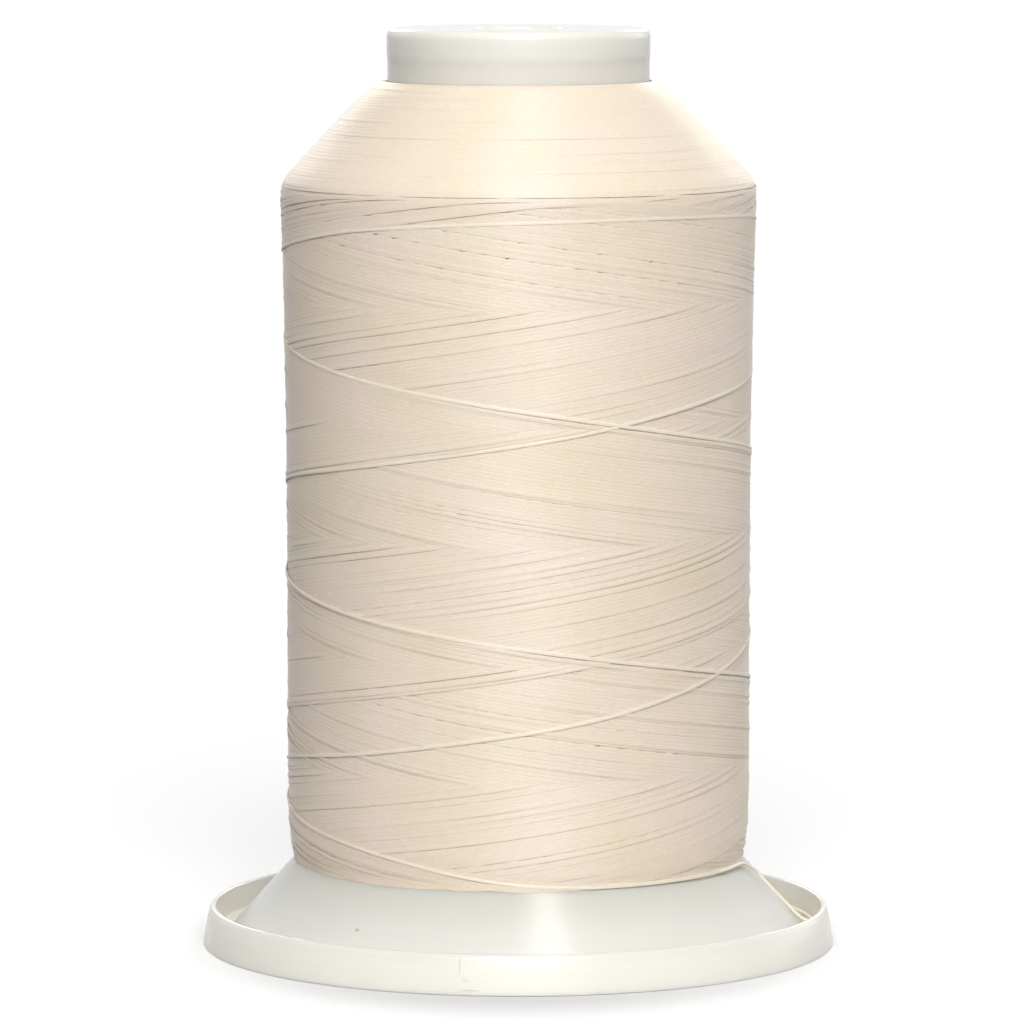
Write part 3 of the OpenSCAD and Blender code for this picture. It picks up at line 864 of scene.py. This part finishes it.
def handling_marks(tree, place, marks):
    """A mask of small marks: each one's strength at its centre, falling to 0 at its reach.

    Marks are (centre, reach, strength), with centre and reach along x, y and z in metres.
    """
    mask = None
    for centre, reach, strength in marks:
        towards = vector_maths(tree, "SUBTRACT", place.outputs["Object"], centre)
        scaled = vector_maths(tree, "DIVIDE", towards.outputs["Vector"], reach)
        away = vector_maths(tree, "LENGTH", scaled.outputs["Vector"])
        near = mapped(tree, away.outputs["Value"], (0.2, 1.0), (strength, 0.0), "SMOOTHSTEP")
        mask = near if mask is None else maths(tree, "MAXIMUM", mask, near)
    return mask


# Height of the spool in metres, over which its plastic's colours are laid
SPOOL_HEIGHT = 0.1085


def white_polypropylene(name, colours, milkiness, marks):
    """Injection-moulded white polypropylene: a milky, slightly translucent body with a satin skin.

    Light goes through thin walls and spreads, and shade falls under the winding: both are painted
    into the colour, which changes with the height as painted light and shade. Colours are (height
    in metres, hex). Marks are scuffs and a speck of dirt, as handling_marks takes them.
    """
    material, tree, output = new_material(name)
    place = add_node(tree, "ShaderNodeTexCoord")
    cloud = noise(tree, place.outputs["Object"], scale=60.0, detail=2.0, roughness=0.5)
    parts = add_node(tree, "ShaderNodeSeparateXYZ", None, {"Vector": place.outputs["Object"]})
    # Painted light and shade by height: a colour ramp up the spool
    share = maths(tree, "DIVIDE", parts.outputs["Z"], SPOOL_HEIGHT)
    walls = add_node(tree, "ShaderNodeValToRGB", None, {"Fac": share})
    colour_steps(walls, [(z / SPOOL_HEIGHT, colour) for z, colour in colours])
    flow = mapped(tree, cloud, NOISE_SPREAD, (0.98, 1.0))
    base = multiplied(tree, walls.outputs["Color"], flow)
    # Scuffs are grey-brown, because dust settles in the scratched skin
    soiled = add_node(tree, "ShaderNodeMix", {"data_type": "RGBA", 7: linear("7C7768")},
                      {0: handling_marks(tree, place, marks), 6: base})
    # Flow marks and the tool's polish: waves of some millimetres, so reflections waver a little
    wave = noise(tree, place.outputs["Object"], scale=240.0, detail=1.0, roughness=0.4)
    rough = mapped(tree, cloud, NOISE_SPREAD, (0.19, 0.25))
    bump = add_node(tree, "ShaderNodeBump", {"Strength": 0.06, "Distance": 0.00005},
                    {"Height": wave})
    shader = add_node(tree, "ShaderNodeBsdfPrincipled", {
        "IOR": 1.49, "Subsurface Weight": milkiness, "Subsurface Scale": 0.003,
        "Subsurface Radius": (1.0, 0.9, 0.75),
    }, {"Base Color": soiled.outputs[2], "Roughness": rough, "Normal": bump.outputs["Normal"]})
    tree.links.new(shader.outputs["BSDF"], output.inputs["Surface"])
    return material


thread_wound = cream_thread("cream_thread_wound", ("F3E3CA", "F6E6D1", "F8E6D6"),
                            plies_as_bump=True)
# One thread by itself has light all round it, and the last strand lies proud of the package: both
# are painted paler than the package, as painted light
thread_free = cream_thread("cream_thread_free", ("F5EAD6", "F6ECDA", "F8EEDD"),
                           plies_as_bump=False)
MILKINESS = 0.6
ring_white = white_polypropylene("white_polypropylene_ring", [
    (0, "E8E4D9"), (0.003, "E9E6DC"), (0.0046, "E2E0D7"),
], MILKINESS, [
    ((-0.0067, -0.0364, 0.0033), (0.00018, 0.003, 0.0014), 0.2),
    ((-0.0061, -0.0369, 0.0017), (0.0005, 0.003, 0.0003), 0.16),
    ((-0.0056, -0.0373, 0.0006), (0.0016, 0.003, 0.00016), 0.3),
])
# The skirt is painted darker beside the winding, as painted shade under it, and lighter at its
# foot, as painted light through the thin wall; the neck is lighter above its collar step
body_white = white_polypropylene("white_polypropylene_body", [
    (0.002, "E1E0D8"), (0.006, "DBDAD3"), (0.0105, "C8C6BC"), (0.1045, "E8E4DA"),
    (0.1055, "F0EDE4"),
], MILKINESS, [
    ((-0.01864, -0.02459, 0.00543), (0.00042, 0.0009, 0.00022), 0.5),
    ((0.0242, -0.0225, 0.00296), (0.0016, 0.0022, 0.00018), 0.16),
])
for piece in (shoulder_turns, lower_turns, inner_strokes, outer_strokes, package_core):
    piece.data.materials.append(thread_wound)
for piece in (last_strand, thread_end):
    piece.data.materials.append(thread_free)
foot_ring.data.materials.append(ring_white)
for piece in (body_moulding, hub_ribs, skirt_ribs):
    piece.data.materials.append(body_white)


# ---- Floor, world and lamps ----

# A disc so wide that its edge never shows, just below the foot so that the two don't touch
TABLE_R = 7
TABLE_SIDES = 96
TABLE_Z = -0.00005

floor_mesh = bpy.data.meshes.new("floor")
floor_turn = np.linspace(0, 2 * np.pi, TABLE_SIDES, endpoint=False)
floor_points = np.stack([TABLE_R * np.cos(floor_turn), TABLE_R * np.sin(floor_turn),
                         0 * floor_turn + TABLE_Z], axis=1)
floor_mesh.from_pydata(floor_points.tolist(), [], [list(range(TABLE_SIDES))])
floor = bpy.data.objects.new("floor", floor_mesh)
bpy.context.scene.collection.objects.link(floor)


def seen_rays(tree):
    """1 for rays that reach the eye directly, by gloss or through glass, 0 for those that light."""
    ray = add_node(tree, "ShaderNodeLightPath").outputs
    gloss = maths(tree, "ADD", ray["Is Camera Ray"], ray["Is Glossy Ray"], clamp=True)
    return maths(tree, "ADD", gloss, ray["Is Transmission Ray"], clamp=True)


floor_material, floor_tree, floor_output = new_material("pale_table")
matt = add_node(floor_tree, "ShaderNodeBsdfDiffuse", {"Color": linear("BCBCBC")})
spot = add_node(floor_tree, "ShaderNodeTexCoord")
away = vector_maths(floor_tree, "LENGTH", spot.outputs["Object"])
# Under the spool lies a sheet of white paper, and round it a duller table
reach = mapped(floor_tree, away.outputs["Value"], (0.044, 0.054), (0.0, 1.0))
paper = add_node(floor_tree, "ShaderNodeValToRGB", None, {"Fac": reach})
colour_steps(paper, [(0.0, "D0D0D0"), (1.0, "585858")])
dull = add_node(floor_tree, "ShaderNodeBsdfDiffuse", None, {"Color": paper.outputs["Color"]})
# Painted contact shadow: the floor's glow is turned down close to the foot, reaching furthest in
# front of it
oval = add_node(floor_tree, "ShaderNodeMapping", {"Scale": (29.0, 22.6, 1.0)},
                {"Vector": spot.outputs["Object"]})
oval_reach = vector_maths(floor_tree, "LENGTH", oval.outputs["Vector"])
painted_contact_shadow = mapped(floor_tree, oval_reach.outputs["Value"], (0.8, 1.26), (0.205, 0.595),
                  "SMOOTHSTEP")
glow = add_node(floor_tree, "ShaderNodeEmission", {"Color": linear("FFFFFF")},
                {"Strength": painted_contact_shadow})
lifted = add_node(floor_tree, "ShaderNodeAddShader", None, {0: matt.outputs[0], 1: glow.outputs[0]})
table_top = add_node(floor_tree, "ShaderNodeMixShader", None,
                     {0: seen_rays(floor_tree), 1: dull.outputs[0], 2: lifted.outputs[0]})
clear = add_node(floor_tree, "ShaderNodeBsdfTransparent")
facing = add_node(floor_tree, "ShaderNodeNewGeometry")
one_sided = add_node(floor_tree, "ShaderNodeMixShader", None, {
    0: facing.outputs["Backfacing"], 1: table_top.outputs[0], 2: clear.outputs[0],
})
floor_tree.links.new(one_sided.outputs[0], floor_output.inputs["Surface"])
floor_mesh.materials.append(floor_material)

world = bpy.data.worlds.new("studio")
bpy.context.scene.world = world
world.use_nodes = True
world_tree = world.node_tree
world_tree.nodes.clear()
world_output = add_node(world_tree, "ShaderNodeOutputWorld")
room = add_node(world_tree, "ShaderNodeBackground",
                {"Color": linear("FFFFFF"), "Strength": 0.085})
backdrop = add_node(world_tree, "ShaderNodeBackground",
                    {"Color": linear("FFFFFF"), "Strength": 1.0})
seen_world = add_node(world_tree, "ShaderNodeMixShader", None,
                      {0: seen_rays(world_tree), 1: room.outputs[0], 2: backdrop.outputs[0]})
world_tree.links.new(seen_world.outputs[0], world_output.inputs["Surface"])


def far_lamp(name, azimuth, elevation, spread, level):
    """A soft lamp far away, which lights a matt surface that faces it to level times its colour.

    Azimuth is from the front towards the right, and spread is how wide the lamp looks, in degrees.
    """
    data = bpy.data.lights.new(name, "SUN")
    data.energy = level * math.pi
    data.angle = math.radians(spread)
    lamp = bpy.data.objects.new(name, data)
    lamp.rotation_euler = (math.radians(90 - elevation), 0.0, math.radians(azimuth))
    lamp.location = (0.0, 0.0, 1.0)
    bpy.context.scene.collection.objects.link(lamp)


# Azimuth, elevation, spread and level
LAMPS = {
    "key": (3.0, 37.0, 38.0, 0.915),
    "front_box": (1.0, 13.0, 36.0, 0.145),
    "behind_left": (-164.0, 20.0, 14.0, 0.14),
    "behind_right": (164.0, 20.0, 14.0, 0.14),
    "overhead_strip": (34.0, 74.5, 9.0, 0.08),
    "back_left": (-125.0, 8.0, 40.0, 0.05),
    "back_right": (125.0, 8.0, 40.0, 0.16),
}
for lamp_name, lamp_numbers in LAMPS.items():
    far_lamp(lamp_name, *lamp_numbers)
